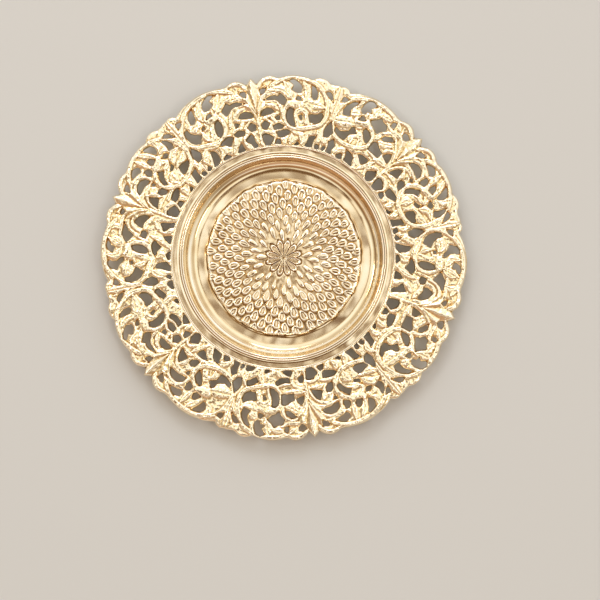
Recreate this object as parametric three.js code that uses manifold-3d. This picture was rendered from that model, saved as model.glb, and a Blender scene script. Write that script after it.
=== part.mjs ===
// A round openwork platter. A spun dish with an embossed medallion carries a pierced
// border, cast in six sections that are brazed end to end and lapped under its flange.
// Millimetres, +Z up. The origin is at the centre of the underside.

import * as THREE from 'three';
import { mergeVertices } from 'three/addons/utils/BufferGeometryUtils.js';
import Module from 'manifold-3d';

const wasm = await Module();
wasm.setup();

// Driving dimensions of the dish, spun from one sheet

const SHEET = 1.1;              // thickness of the sheet
const MEDALLION_R = 65.8;       // edge of the raised medallion
const MEDALLION_RISE = 1.7;     // top of the medallion above the floor
const MEDALLION_SLOPE = 1.0;    // width of the step at its edge
const FLOOR_WIDTH = 7.2;        // flat floor round the medallion, which the platter stands on
const WALL_SWEEP = 10.2;        // width of the hollow wall, seen from above
const WELL_DEPTH = 12.0;        // floor to the top of the hollow wall
const BEAD_WIDTH = 3.4;         // raised bead on the rim of the well
const BEAD_RISE = 1.2;          // bead above the top of the wall
const FLANGE_WIDTH = 10.3;      // bead and flat flange together
const FLANGE_RISE = 0.4;        // flange above the top of the wall
const LIP_WIDTH = 0.9;          // fine raised lip on the edge of the flange
const LIP_RISE = 0.5;

// Driving dimensions of the flower embossed in the medallion

const HEART_PETALS = 12;        // petals that meet at the centre
const HEART_REACH = 13.6;       // from the centre to their tips
const PETAL_SPREAD = 4.4;       // petal n of the others lies this times the root of n from the axis
const PETAL_TURN = 137.508;     // and this many degrees on from the one before it
const PETAL_LONG = 8.8;
const PETAL_WIDE = 5.4;
const PETAL_RISE = 0.6;         // petals above the medallion, and their hollows in its underside

// Driving dimensions of the cast border

const SECTIONS = 6;             // castings in the ring
const FIRST_TIP = 100.2;        // direction of the first palmette, in degrees from +X
const JOINT_SHIFT = 0.6;        // the joints lie this many degrees short of half way
const STRAP_LAP = 5.5;          // how far the inner strap reaches under the flange
const STRAP_THICK = 1.8;
const BORDER_REACH = 59.0;      // from the flange out to the tip of a palmette
const PLATE_THICK = 3.8;        // thickness of the openwork, from the strap's underside up
const SCROLL_WIDTH = 3.4;       // raised scrolls
const SCROLL_RISE = 1.3;        // scrolls above the openwork
const PALMETTE_RISE = 2.4;      // palmette above the openwork
const PALMETTE_BEVEL = 2.2;     // width of the sloping faces round a palmette
const EDGE_BAR = 0.9;           // solid bar left between the flange and the openings
const OPENING_SPREAD = 0.45;    // openings are filed this much wider than their drawn outline

// Solder gaps

const LAP_GAP = 0.3;            // strap to the flange above it
const EDGE_GAP = 0.3;           // edge of the flange to the openwork
const JOINT_GAP = 0.3;          // section to section

// Smoothness

const DISH_SEGMENTS = 60;
const WALL_STEPS = 4;
const ARC_STEPS = 10;           // steps of an arc that spans one section
const EDGE_STEP = 3.4;          // step along the outer edge
const SCROLL_STEP = 6.5;        // step along a raised scroll
const CLEAR = 1;                // how far a cutter runs past what it cuts

// The pattern is drawn round a flange of this radius, out to this reach, in sixths of a turn

const DRAWN_EDGE = 93.5;
const DRAWN_REACH = 59.0;
const DRAWN_SECTIONS = 6;
const DRAWN_LOBE = 151;         // crest of the lobe that covers a joint
const LEFT_STRETCH = 1.09;      // the left half of a section is this much wider than the right

// The pattern. Points are [across, out] from the axis of the platter, with the palmette
// straight up. Left halves use the same points, mirrored.

const RIGHT_OUTLINE = [
  [0, 152.5], [1.8, 150.2], [4.2, 146.9], [7, 149.6], [11, 151.7], [16, 152], [20.5, 150.4],
  [23.3, 148.6], [29, 149.2], [36, 148.4], [43, 146.3], [49, 143.4], [52.2, 141.2],
  [55.5, 142.4], [60, 141], [64, 137.8], [66, 134.2], [69.5, 133.9], [72.6, 132],
];

const LEFT_OUTLINE = [
  [0, 152.5], [2, 150.4], [4.4, 147.8], [7.5, 150.6], [12, 152.3], [17, 151.6], [21.5, 149],
  [28, 149.3], [36, 148.8], [44, 146.8], [50, 144], [56, 140.6], [60, 137.2], [62.4, 134.3],
  [65.5, 135.5], [69, 135],
];

// Openings of the crown: between the palmette, the outer scroll and the ring, and in the arch
const CROWN = {
  A: [
    [[6.1, 141.6], [10.8, 141.7], [8.7, 138.9], [6.6, 137.5]],
    [[8.4, 132.8], [11.6, 133.4], [14.6, 134.2], [17.5, 133.9], [19.9, 132.8], [22.2, 135.1],
      [23.4, 133.1], [26.1, 129.5], [23.4, 125.7], [21.1, 127.8], [19.9, 130.1], [16.9, 131.9],
      [13.4, 132.1]],
    [[31.4, 144.5], [35.2, 144.8], [37.5, 142.8], [40.2, 139.5], [40.8, 136.6], [39.3, 133.4],
      [36.4, 133.6], [33.1, 137.2], [35.5, 140.1], [34, 142.5]],
    [[36.1, 130.4], [37.8, 129.2], [39, 126.6], [35.2, 128.4]],
    [[49.9, 136.9], [51.9, 134.2], [52.8, 130.1], [51.4, 125.4], [49.3, 125.4], [48.1, 127.8],
      [49, 130.7]],
    [[2.8, 120.1], [4.9, 123.1], [8.7, 125.1], [12.2, 124.2], [14.6, 121], [11.1, 120.7]],
    [[14.9, 116.3], [18.4, 117.8], [17.5, 114.2], [15.8, 114.8]],
    [[2.8, 112.8], [5.4, 114.8], [8.4, 112], [6, 108.6], [3, 109.2]],
    [[12.2, 109.6], [16.4, 110.4], [20, 108.2], [17.4, 106.4], [12.6, 107]],
  ],
  B: [
    [[8.1, 143.9], [11.1, 144.5], [13.4, 144.2], [11.6, 141.9], [8.4, 139.8]],
    [[19.3, 141], [22.8, 142.8], [26.1, 143.4], [29.3, 141], [29.3, 138.9], [27.5, 137.2],
      [24.6, 139.2], [21.6, 140.6]],
    [[27.8, 133.1], [29.6, 133.4], [30.8, 130.7], [30.8, 128.4], [26.9, 127.2], [26.9, 129.5]],
    [[37.5, 134.8], [39.3, 132.8], [40.5, 129.2], [36.9, 129.2], [36.1, 130.7]],
    [[44, 141.3], [46.4, 139.5], [49.6, 136.6], [49.6, 133.1], [48.1, 130.7], [45.8, 129.2],
      [45.8, 133.6], [45.2, 137.8]],
    [[9.6, 131], [11.6, 133.4], [15.2, 134.8], [19.3, 134.2], [22.2, 130.7], [22.2, 127.2],
      [19.9, 128.6], [16.9, 130.1], [12.2, 130.7]],
    [[3.7, 113.1], [5.2, 116.6], [7.5, 120.7], [9.3, 121.9], [10.2, 118.4], [11.1, 115.4],
      [7.5, 114.8]],
    [[19.3, 123.9], [22.5, 123.6], [20.5, 121.3]],
    [[15.8, 116.6], [18.1, 116.9], [19.6, 114.8], [19.6, 109.8], [17.5, 110.7], [15.5, 113.6]],
  ],
  C: [
    [[5.8, 143.4], [9.3, 144.8], [11.6, 144.2], [11.1, 141.9], [8.4, 140.4], [6.6, 141.6]],
    [[21.6, 144.2], [23.4, 142.8], [22.8, 140.4], [19.9, 140.1], [20.8, 142.2]],
    [[22.8, 133.9], [25.2, 136.6], [29.3, 136.6], [31.6, 137.8], [33.1, 134.2], [35.5, 130.7],
      [32.2, 129.2], [28.7, 128.6], [25.8, 126.6], [25.2, 130.7]],
    [[41.6, 141.9], [45.2, 142.5], [47.8, 140.1], [48.1, 136], [47.2, 131.3], [44.6, 130.1],
      [43.1, 131], [43.7, 133.6], [40.5, 135.4], [43.4, 136.9], [42.8, 139.5]],
    [[39, 127.2], [42.8, 128.9], [42.5, 124.5], [40.5, 126]],
    [[52.8, 133.9], [55.2, 130.7], [56.6, 125.4], [56.1, 120.7], [54, 118.1], [49.9, 121],
      [52.8, 123.1], [53.4, 127.8]],
    [[12.2, 133.1], [15.8, 133.1], [19.3, 130.1], [19.9, 126.9], [17.5, 127.8], [14.6, 130.7]],
    [[3.1, 116.6], [4.6, 120.7], [6.1, 123.9], [8.1, 121.3], [9.3, 118.4], [6.4, 117.8]],
    [[11.6, 118.4], [15.8, 119.5], [20.5, 121.3], [21.6, 120.1], [20.5, 113.1], [16.9, 113.9],
      [11.6, 114.2]],
  ],
  D: [
    [[6.1, 140.7], [11.1, 140.8], [9.3, 139.2], [7.8, 138.4]],
    [[16.1, 135.4], [19.9, 134.2], [24.6, 133.6], [29.3, 128.9], [26.9, 127.8], [22.8, 125.4],
      [21.6, 128.9], [19.9, 131.9]],
    [[32.5, 143.9], [36.6, 143.4], [39.3, 141.3], [39.9, 137.8], [36.1, 137.2], [36.1, 140.1],
      [34.6, 142.2]],
    [[47.5, 138.4], [49.9, 137.8], [51.9, 134.8], [51.6, 129.8], [46.9, 129.2], [44, 127.2],
      [41.6, 127.5], [42.2, 128.9], [45.8, 131.3], [47.5, 134.8]],
    [[4.9, 117.2], [5.5, 120.7], [8.1, 124.8], [12.2, 127.2], [14.3, 123.1], [14.6, 120.1],
      [11.1, 120.7]],
    [[17.5, 118.4], [21.1, 118.9], [21.1, 114.8], [18.4, 114.2], [16.9, 115.4]],
  ],
};

// Openings inside the ring of the scroll
const FILL = {
  A: [
    [[28.1, 121.3], [30.5, 120.1], [29.3, 117.8], [28.7, 113.6], [29.3, 109.5], [29.3, 106],
      [26.9, 107.8], [24.6, 111.3], [24.3, 115.4], [25.8, 119.5]],
    [[34.6, 114.2], [36.4, 114.5], [36.1, 110.7], [35.2, 110.4]],
    [[43.1, 113.4], [46.9, 111.9], [50.5, 111.6], [54, 112.8], [53.4, 110.1], [50.5, 106.6],
      [46.4, 105.7], [43.1, 107.2]],
  ],
  B: [
    [[25.2, 112.2], [24.3, 114.2], [25.8, 117.2], [28.7, 120.1], [31.6, 122.2], [34, 119.2],
      [31.1, 118.4], [28.1, 116]],
    [[36.1, 113.1], [40.5, 113.9], [42.2, 116], [40.8, 112.2], [37.5, 112.2]],
    [[41.6, 106.9], [44, 106.6], [46.4, 104.2], [49.9, 102.8], [46.9, 101.3], [42.2, 101],
      [38.1, 101.9], [39.6, 104.8]],
    [[44.6, 123.6], [48.1, 122.8], [49.6, 120.7], [45.8, 120.1]],
    [[57.2, 129.5], [58.4, 125.4], [58.1, 120.7], [56.1, 118.1], [52.8, 120.7], [55.2, 122.5],
      [56.4, 126]],
  ],
  C: [
    [[26.6, 120.1], [29.9, 122.2], [33.4, 122.5], [33.7, 120.7], [30.5, 118.1], [26.9, 115.4],
      [25.5, 114.2]],
    [[40.5, 116.6], [41.1, 114.8], [40.8, 111.3], [42.2, 108.9], [45.2, 105.7], [50.5, 106],
      [48.1, 103.9], [42.8, 103.1], [38.7, 104.2], [39.9, 107.8], [39.3, 110.7], [36.4, 114.2]],
  ],
  D: [
    [[30.8, 122.8], [32.5, 121.3], [33.1, 117.8], [32.8, 114.2], [31.9, 110.7], [30.8, 109.5],
      [29, 111.9], [28.4, 115.4], [29.3, 119.5]],
    [[45.8, 114.8], [50.5, 115.4], [54, 117.2], [56.4, 121.3], [57.5, 119.5], [56.6, 115.4],
      [54, 111.3], [50.5, 108.9], [46.6, 108.4]],
    [[42.2, 120.7], [44, 119.5], [43.4, 118.4], [41.9, 119.2]],
  ],
};

// Openings in the row of leaves along the flange
const ROW = {
  A: [
    [[2.4, 105.6], [1.6, 103.1], [1.4, 99.2], [3, 100.7], [5.4, 102.5], [4, 104.8]],
    [[13.1, 103.6], [15.8, 102.5], [19.3, 102.8], [22.8, 103.9], [24.3, 101.6], [20.5, 99.8],
      [16.4, 100.1], [13.4, 100.1]],
    [[12.2, 98.6], [14.3, 96.6], [17.2, 93.6], [13.4, 93.4], [9, 94.8]],
    [[26.9, 91.6], [29.3, 91.9], [31.6, 92.8], [30.8, 90.1], [28.4, 90.4]],
    [[39, 98.6], [42.8, 99.2], [47.5, 99.5], [47.2, 96.6], [44, 96], [39.9, 94.8]],
    [[38.7, 86.3], [41.1, 87.5], [45.2, 87.8], [46.2, 86.3], [45, 83.2], [42.8, 83.6]],
  ],
  B: [
    [[1.9, 103.1], [3.4, 103.6], [6.6, 102.8], [9.6, 99.8], [6.4, 94.5], [2.8, 94.5]],
    [[13.4, 98.1], [14.6, 97.2], [15.8, 93.6], [11.1, 95.1]],
    [[14.3, 104.2], [19.3, 104.2], [22.2, 103.9], [24.6, 101.9], [22.2, 100.7], [17.5, 99.8],
      [14.6, 100.1]],
    [[24.6, 91.3], [27.5, 91.6], [29.9, 93.4], [29.3, 90.7], [28.4, 89.5]],
    [[39.9, 94.8], [45.2, 94.5], [42.2, 91.9], [41.1, 89.5], [39.6, 86.6], [34.3, 88.1],
      [37.2, 90.7]],
    [[43, 87.4], [45.6, 87], [45.2, 83.4], [42.2, 84.2]],
  ],
  C: [
    [[3.7, 104.8], [5.8, 102.5], [7.8, 100.1], [6.1, 96.6], [4.6, 94.5], [2.8, 94.8],
      [1.6, 98.4], [2.2, 101.9]],
    [[14.3, 106.6], [16.4, 106], [19.9, 105.4], [22.5, 103.9], [19.3, 102.5], [16.1, 100.4],
      [14.9, 103.1]],
    [[26.4, 99.2], [30.8, 98.9], [28.1, 96.6], [26.4, 92.5], [19.3, 92.8], [22.2, 95.4],
      [23.4, 97.8]],
    [[31.6, 93.6], [33.4, 90.1], [32.2, 88.6], [28.7, 90.4]],
    [[44, 97.2], [44.6, 93.6], [42.2, 90.1], [41.1, 86.3], [36.4, 87.2], [39.3, 89.5],
      [39.9, 94.2]],
    [[43.4, 87], [45, 88.6], [45, 84.6], [43, 84.2]],
  ],
  D: [
    [[6.9, 106], [11.1, 101.3], [7.5, 98.1], [5.8, 93.6], [3.1, 93.6], [5.2, 98.9],
      [6.1, 103.1]],
    [[15.8, 100.1], [17.5, 97.2], [19.3, 93.1], [13.4, 93.4], [14.6, 96]],
    [[21.4, 106.6], [25.2, 106.9], [29.9, 104.2], [32.2, 102.2], [28.1, 102.5], [24, 100.1],
      [22.8, 103.6]],
    [[28.1, 93.1], [30.8, 90.7], [30.5, 88.9], [24.3, 90.7]],
    [[40.5, 99.5], [39.3, 94.8], [39, 91.3], [38.4, 85.4], [35.8, 87.2], [34.3, 91.3],
      [35.8, 96], [37.5, 98.1]],
    [[41.8, 86.4], [44.2, 88.4], [44.6, 84.8], [43, 84]],
  ],
};

// Openings beside the lobe that covers a joint, and the one that the joint itself crosses,
// drawn with the joint straight up
const LOBE_RIGHT = [[60.5, 128.9], [63.4, 128.4], [64.6, 125.4], [64.6, 120.1], [62.2, 125.4]];
const LOBE_LEFT = [[59.6, 129.2], [63.4, 128.6], [62, 124.2], [60.5, 126.6]];
const JOINT_OPENING = [
  [0.8, 119.5], [4.6, 111.5], [2.2, 107.5], [-0.6, 106.8], [-1.8, 111.5], [-0.8, 115.5],
];

// Raised scrolls: the outer arc, which rolls into the ring round each fill
const RING = {
  A: [[15, 142.6], [22, 145.4], [29, 146.9], [36, 146.2], [43, 144], [49.5, 140.6], [55, 135.6],
    [58.4, 129], [59.6, 121.5], [58.6, 113.5], [55, 106.8], [50, 103], [43, 102.4], [35, 102.8],
    [28.4, 104.6], [23.8, 108.6], [22.2, 114.8], [23.6, 121], [28, 124.2], [34, 124.2]],
  B: [[15, 142.6], [22, 145.4], [29, 146.9], [36, 146.2], [43, 144], [49.5, 140.6], [55, 135.6],
    [59.4, 129], [60.4, 121.5], [59.2, 112.5], [55.6, 104.6], [50, 99.8], [43, 98.2], [35, 98.8],
    [28, 102], [23.6, 107.4], [22.2, 114], [24, 120], [28.4, 124.4], [34, 126.2], [41, 126.6]],
  C: [[15, 142.6], [22, 145.4], [29, 146.9], [36, 146.2], [43, 144], [49.5, 140.6], [55, 136],
    [59, 129], [59.6, 121.5], [58.2, 113.5], [55, 106.4], [49.6, 101.8], [43, 100.4],
    [36, 101.2], [29.6, 104.6], [24.6, 109.4], [23, 115.6], [25.4, 121.8], [30, 125.4],
    [36, 126.2], [42, 122.4]],
  D: [[15, 142.6], [22, 145.4], [29, 146.9], [36, 146.2], [43, 144], [49.5, 140.6], [55, 135.6],
    [58.6, 129], [60, 121.5], [59.4, 114], [56.4, 108], [51, 105], [44, 105], [36, 104.4],
    [30.4, 106.4], [27, 110.6], [26, 116.4], [28, 122.6], [32.6, 125.6], [38, 125.2]],
};
// Half of the palmette, from its tip down to its base
const PALMETTE = [[0, 151], [2.6, 147.4], [3.4, 143.6], [6, 139.4], [4.6, 134], [0, 129]];

// Each section: crown, fill and row of its right half, then of its left half
const CASTINGS = [
  ['AAB', 'ADD'],
  ['BBB', 'DDD'],
  ['AAA', 'BCC'],
  ['CAA', 'BBB'],
  ['CCB', 'DDD'],
  ['BBB', 'CCC'],
];

// A petal of length and width 2, with its tip at +X: its foot and its ridge
const PETAL_FOOT = [[-1, 0], [0.1, -0.9], [0.75, -0.75], [1, 0], [0.75, 0.75], [0.1, 0.9]];
const PETAL_RIDGE = [[-0.4, 0], [0.6, 0]];
// Its hollow on the underside
const HOLLOW_FOOT = [[-0.9, 0], [0.4, -0.8], [0.9, 0], [0.4, 0.8]];
const HOLLOW_RIDGE = [[0.3, 0]];

// Radii, levels and directions worked out from the sizes above

const medallionTop = SHEET + MEDALLION_RISE;
const petalReach = MEDALLION_R - MEDALLION_SLOPE - PETAL_LONG / 2;
const floorR = MEDALLION_R + FLOOR_WIDTH;
const wellR = floorR + WALL_SWEEP;
const beadR = wellR + BEAD_WIDTH;
const flangeR = wellR + FLANGE_WIDTH;
const strapR = flangeR - STRAP_LAP;
const wellTop = SHEET + WELL_DEPTH;
const flangeTop = wellTop + FLANGE_RISE;
const strapTop = flangeTop - SHEET - LAP_GAP;
const plateBottom = strapTop - STRAP_THICK;
const plateTop = plateBottom + PLATE_THICK;
const crestTop = plateTop + Math.max(SCROLL_RISE, PALMETTE_RISE);
const sectionAngle = 2 * Math.PI / SECTIONS;
const rightEnd = sectionAngle / 2 - THREE.MathUtils.degToRad(JOINT_SHIFT);
const leftEnd = rightEnd - sectionAngle;

const polishedSheet = new THREE.MeshStandardMaterial({ color: 0xe3cfa0, roughness: 0.3, metalness: 1 });
const castMetal = new THREE.MeshStandardMaterial({ color: 0xdcc08a, roughness: 0.38, metalness: 1 });

// Solids

function solidOf(geometry) {
  geometry.deleteAttribute('normal');
  geometry.deleteAttribute('uv');
  const merged = mergeVertices(geometry, 1e-4);
  const vertProperties = new Float32Array(merged.attributes.position.array);
  const triVerts = new Uint32Array(merged.index.array);
  return new wasm.Manifold(new wasm.Mesh({ numProp: 3, vertProperties, triVerts }));
}

function geometryOf(solid) {
  const mesh = solid.getMesh();
  const geometry = new THREE.BufferGeometry();
  geometry.setAttribute('position', new THREE.BufferAttribute(mesh.vertProperties, 3));
  geometry.setIndex(new THREE.BufferAttribute(mesh.triVerts, 1));
  geometry.computeVertexNormals();
  return geometry;
}

function prism(points, bottom, top) {
  const geometry = new THREE.ExtrudeGeometry(new THREE.Shape(points), {
    depth: top - bottom,
    bevelEnabled: false,
  });
  geometry.translate(0, 0, bottom);
  return solidOf(geometry);
}

// Drawing: turns a drawn point into a place on the border

function polar(radius, angle) {
  return new THREE.Vector2(radius * Math.sin(angle), radius * Math.cos(angle));
}

function placedRadius(drawnRadius) {
  return flangeR + (drawnRadius - DRAWN_EDGE) * BORDER_REACH / DRAWN_REACH;
}

function place([across, out], side, least = 0) {
  const turn = Math.atan2(across, out) * DRAWN_SECTIONS / SECTIONS;
  const radius = Math.max(placedRadius(Math.hypot(across, out)), flangeR + least);
  return polar(radius, side < 0 ? -turn * LEFT_STRETCH : turn);
}

function placeAll(points, side, least = 0) {
  return points.map((point) => place(point, side, least));
}

function smooth(points, step) {
  const curve = new THREE.SplineCurve(points);
  const count = Math.max(2, Math.round(curve.getLength() / step));
  return curve.getSpacedPoints(count);
}

// Moves each side of a closed outline outwards by the same amount
function spread(points, amount) {
  const turnsLeft = THREE.ShapeUtils.area(points) > 0 ? 1 : -1;
  return points.map((point, i) => {
    const before = points[(i + points.length - 1) % points.length];
    const after = points[(i + 1) % points.length];
    const along = after.clone().sub(before).normalize();
    const outwards = new THREE.Vector2(along.y, -along.x).multiplyScalar(turnsLeft);
    return point.clone().addScaledVector(outwards, amount);
  });
}

function ribbon(points, width) {
  const line = smooth(points, SCROLL_STEP);
  const left = [];
  const right = [];
  line.forEach((point, i) => {
    const before = line[Math.max(i - 1, 0)];
    const after = line[Math.min(i + 1, line.length - 1)];
    const along = after.clone().sub(before).normalize();
    const across = new THREE.Vector2(-along.y, along.x);
    left.push(point.clone().addScaledVector(across, width / 2));
    right.unshift(point.clone().addScaledVector(across, -width / 2));
  });
  return [...left, ...right];
}

function arc(radius, from, to, steps) {
  const points = [];
  for (let i = 0; i <= steps; i += 1) {
    points.push(polar(radius, from + (to - from) * i / steps));
  }
  return points;
}

// A section's ends are flat faces, half a solder gap short of the joint's radial line
function endAngle(radius, end, inward) {
  return end - inward * Math.asin(JOINT_GAP / 2 / radius);
}

// All that a section may fill: its share of the circle, to well past the palmettes
function wedge() {
  const far = flangeR + 2 * BORDER_REACH;
  const near = strapR - CLEAR;
  const points = arc(far, endAngle(far, leftEnd, -1), endAngle(far, rightEnd, 1), ARC_STEPS);
  points.push(polar(near, endAngle(near, rightEnd, 1)), polar(near, endAngle(near, leftEnd, -1)));
  return prism(points, plateBottom, crestTop + CLEAR);
}

// The step above the strap, which the flange of the dish lies in
function rebate() {
  const near = strapR - CLEAR;
  const spare = CLEAR / near;
  const outer = arc(flangeR + EDGE_GAP, leftEnd - spare, rightEnd + spare, 2 * ARC_STEPS);
  const inner = arc(near, rightEnd + spare, leftEnd - spare, ARC_STEPS);
  return prism([...outer, ...inner], strapTop, crestTop + CLEAR);
}

// The border

function outline() {
  const lobe = placedRadius(DRAWN_LOBE);
  const right = placeAll(RIGHT_OUTLINE, 1);
  const left = placeAll(LEFT_OUTLINE, -1);
  right.push(polar(lobe, endAngle(lobe, rightEnd, 1)));
  left.push(polar(lobe, endAngle(lobe, leftEnd, -1)));
  const rightEdge = smooth(right, EDGE_STEP);
  const leftEdge = smooth(left, EDGE_STEP).slice(1).reverse();
  const strapEdge = arc(
    strapR,
    endAngle(strapR, rightEnd, 1),
    endAngle(strapR, leftEnd, -1),
    ARC_STEPS,
  );
  return [...leftEdge, ...rightEdge, ...strapEdge];
}

function openingsOf([crown, fill, row], side) {
  const lobe = side < 0 ? LOBE_LEFT : LOBE_RIGHT;
  return [...CROWN[crown], ...FILL[fill], ...ROW[row], lobe]
    .map((points) => placeAll(points, side, EDGE_BAR + OPENING_SPREAD));
}

function jointOpenings() {
  const upright = placeAll(JOINT_OPENING, 1);
  return [rightEnd, leftEnd].map((end) => upright.map((point) => (
    point.clone().rotateAround(new THREE.Vector2(), -end)
  )));
}

function palmette() {
  const right = placeAll(PALMETTE, 1);
  const left = placeAll(PALMETTE.slice(1, -1), -1).reverse();
  const geometry = new THREE.ExtrudeGeometry(new THREE.Shape([...right, ...left]), {
    depth: PLATE_THICK / 2,
    bevelThickness: PALMETTE_RISE,
    bevelSize: PALMETTE_BEVEL,
    bevelOffset: -PALMETTE_BEVEL,
    bevelSegments: 1,
  });
  geometry.translate(0, 0, plateTop - PLATE_THICK / 2);
  return solidOf(geometry);
}

function scroll([, fill], side) {
  const outlinePoints = ribbon(placeAll(RING[fill], side), SCROLL_WIDTH);
  return prism(outlinePoints, (plateBottom + plateTop) / 2, plateTop + SCROLL_RISE);
}

function casting([rightKinds, leftKinds]) {
  let solid = prism(outline(), plateBottom, plateTop);
  solid = solid.add(scroll(rightKinds, 1)).add(scroll(leftKinds, -1)).add(palmette());
  solid = solid.intersect(wedge()).subtract(rebate());
  const openings = [
    ...openingsOf(rightKinds, 1),
    ...openingsOf(leftKinds, -1),
    ...jointOpenings(),
  ];
  for (const opening of openings) {
    const filed = spread(opening, OPENING_SPREAD);
    solid = solid.subtract(prism(filed, plateBottom - CLEAR, crestTop + CLEAR));
  }
  return geometryOf(solid);
}

// The dish

// Half of the dish's section: along the underside from the axis, and back along the top
function dishProfile() {
  const top = [
    [0, medallionTop],
    [MEDALLION_R - MEDALLION_SLOPE, medallionTop],
    [MEDALLION_R, SHEET],
    [floorR, SHEET],
  ];
  const bottom = [
    [0, MEDALLION_RISE],
    [MEDALLION_R - MEDALLION_SLOPE - SHEET / 2, MEDALLION_RISE],
    [MEDALLION_R - SHEET / 2, 0],
    [floorR + SHEET / 2, 0],
  ];
  for (let i = 1; i <= WALL_STEPS; i += 1) {
    const turn = Math.PI / 2 * i / WALL_STEPS;
    const out = WALL_SWEEP * Math.sin(turn);
    const up = 1 - Math.cos(turn);
    top.push([floorR + out, SHEET + WELL_DEPTH * up]);
    bottom.push([floorR + SHEET / 2 + out, (WELL_DEPTH - SHEET / 2) * up]);
  }
  top.push(
    [wellR + BEAD_WIDTH / 4, wellTop + BEAD_RISE],
    [beadR - BEAD_WIDTH / 4, wellTop + BEAD_RISE],
    [beadR, flangeTop],
    [flangeR - LIP_WIDTH, flangeTop],
    [flangeR - LIP_WIDTH / 2, flangeTop + LIP_RISE],
    [flangeR, flangeTop + LIP_RISE],
  );
  bottom.push([beadR, flangeTop - SHEET], [flangeR, flangeTop - SHEET]);
  return [...bottom, ...top.reverse()];
}

// Centre, direction, length and width of each petal, seen from above
function petals() {
  const list = [];
  for (let i = 0; i < HEART_PETALS; i += 1) {
    const angle = 2 * Math.PI * i / HEART_PETALS;
    list.push({ out: HEART_REACH / 2, angle, long: HEART_REACH, wide: PETAL_WIDE });
  }
  const first = Math.ceil(((HEART_REACH + PETAL_LONG / 3) / PETAL_SPREAD) ** 2);
  const last = Math.floor((petalReach / PETAL_SPREAD) ** 2);
  for (let n = first; n <= last; n += 1) {
    const angle = THREE.MathUtils.degToRad(PETAL_TURN) * n;
    list.push({ out: PETAL_SPREAD * Math.sqrt(n), angle, long: PETAL_LONG, wide: PETAL_WIDE });
  }
  return list;
}

// A mound for each petal, standing on a level and reaching a little below it
function mounds(level, footShape, ridgeShape) {
  return wasm.Manifold.union(petals().map(({ out, angle, long, wide }) => {
    const at = ([x, y], z) => [x * long / 2 + out, y * wide / 2, z];
    const foot = footShape.map((point) => at(point, level - SHEET / 4));
    const ridge = ridgeShape.map((point) => at(point, level + PETAL_RISE));
    const turn = THREE.MathUtils.radToDeg(angle);
    return wasm.Manifold.hull([...foot, ...ridge]).rotate([0, 0, turn]);
  }));
}

function centreDish() {
  const spun = wasm.Manifold.revolve([dishProfile()], DISH_SEGMENTS);
  const raised = mounds(medallionTop, PETAL_FOOT, PETAL_RIDGE);
  const hollows = mounds(MEDALLION_RISE, HOLLOW_FOOT, HOLLOW_RIDGE);
  return geometryOf(spun.add(raised).subtract(hollows));
}

// Assembly

const platter = new THREE.Group();

const dish = new THREE.Mesh(centreDish(), polishedSheet);
dish.name = 'centre_dish';
platter.add(dish);

CASTINGS.forEach((kinds, i) => {
  const section = new THREE.Mesh(casting(kinds), castMetal);
  section.name = `border_casting_${i + 1}`;
  const tip = THREE.MathUtils.degToRad(FIRST_TIP) + i * sectionAngle;
  section.rotation.z = tip - Math.PI / 2;
  platter.add(section);
});

export default platter;
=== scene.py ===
# %% [markdown]
# # A pierced and embossed platter
#
# The real object is a shallow dish, spun from one sheet of brass, with an embossed
# flower in its floor. Six castings of scrolls and leaves are brazed to its flange and
# to each other, and the whole is plated pale gold and polished. This file dresses the
# solids of that platter: it models the chased surface of every piece, paints the
# metal, and lights it on a plain floor.

import math

import bmesh
import bpy
import numpy as np
from mathutils import Matrix, Vector, noise


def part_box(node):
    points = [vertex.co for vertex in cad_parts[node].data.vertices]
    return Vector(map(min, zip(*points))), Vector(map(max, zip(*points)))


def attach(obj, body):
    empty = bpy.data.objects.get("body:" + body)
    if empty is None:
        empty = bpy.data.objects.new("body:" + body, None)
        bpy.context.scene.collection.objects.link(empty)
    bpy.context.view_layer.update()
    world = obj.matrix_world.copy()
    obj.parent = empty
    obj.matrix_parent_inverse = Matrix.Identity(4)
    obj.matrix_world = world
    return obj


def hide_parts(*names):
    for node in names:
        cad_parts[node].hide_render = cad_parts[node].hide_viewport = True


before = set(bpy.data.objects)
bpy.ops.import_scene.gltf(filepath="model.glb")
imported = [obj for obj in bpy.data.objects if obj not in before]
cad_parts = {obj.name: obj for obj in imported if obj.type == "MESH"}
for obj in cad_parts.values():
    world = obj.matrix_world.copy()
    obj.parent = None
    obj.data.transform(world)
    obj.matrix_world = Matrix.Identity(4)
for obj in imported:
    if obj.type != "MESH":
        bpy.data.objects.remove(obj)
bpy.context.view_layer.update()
print("solids:", sorted(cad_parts))

# %% [markdown]
# ## Sizes
#
# The meshes are modelled in millimetres, because that is how the sizes of a platter
# are known, and made metres as their last step. The outer sizes come from the solids.
# The inner steps of the dish repeat the turned profile of the solid.

# %% Sizes in millimetres
MM = 0.001
SECTIONS = 6
FIRST_TIP = 100.2           # direction of the first palmette, degrees from +X
SHEET = 1.1                 # thickness of the spun sheet
MEDALLION_R = 65.8          # edge of the embossed flower
MEDALLION_RISE = 1.7
FLOOR_R = 73.0              # edge of the flat floor round the flower
WELL_R = 83.2               # top of the hollow wall
WELL_DEPTH = 12.0
BEAD_R = 86.6               # outer foot of the bead
PLATE_THICK = 3.8           # thickness of the openwork
LEFT_STRETCH = 1.09         # a section's left half is this much wider than its right
STRAP_TURN = 93.7           # inside this radius the castings lie under the flange

dish_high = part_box("centre_dish")[1]
casting_low, casting_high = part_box("border_casting_1")
flange_r = dish_high.x / MM
plate_bottom = casting_low.z / MM
crest_top = casting_high.z / MM
plate_top = plate_bottom + PLATE_THICK
print(f"flange {flange_r:.1f} mm, openwork from {plate_bottom:.1f} to {crest_top:.1f} mm up")

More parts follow.
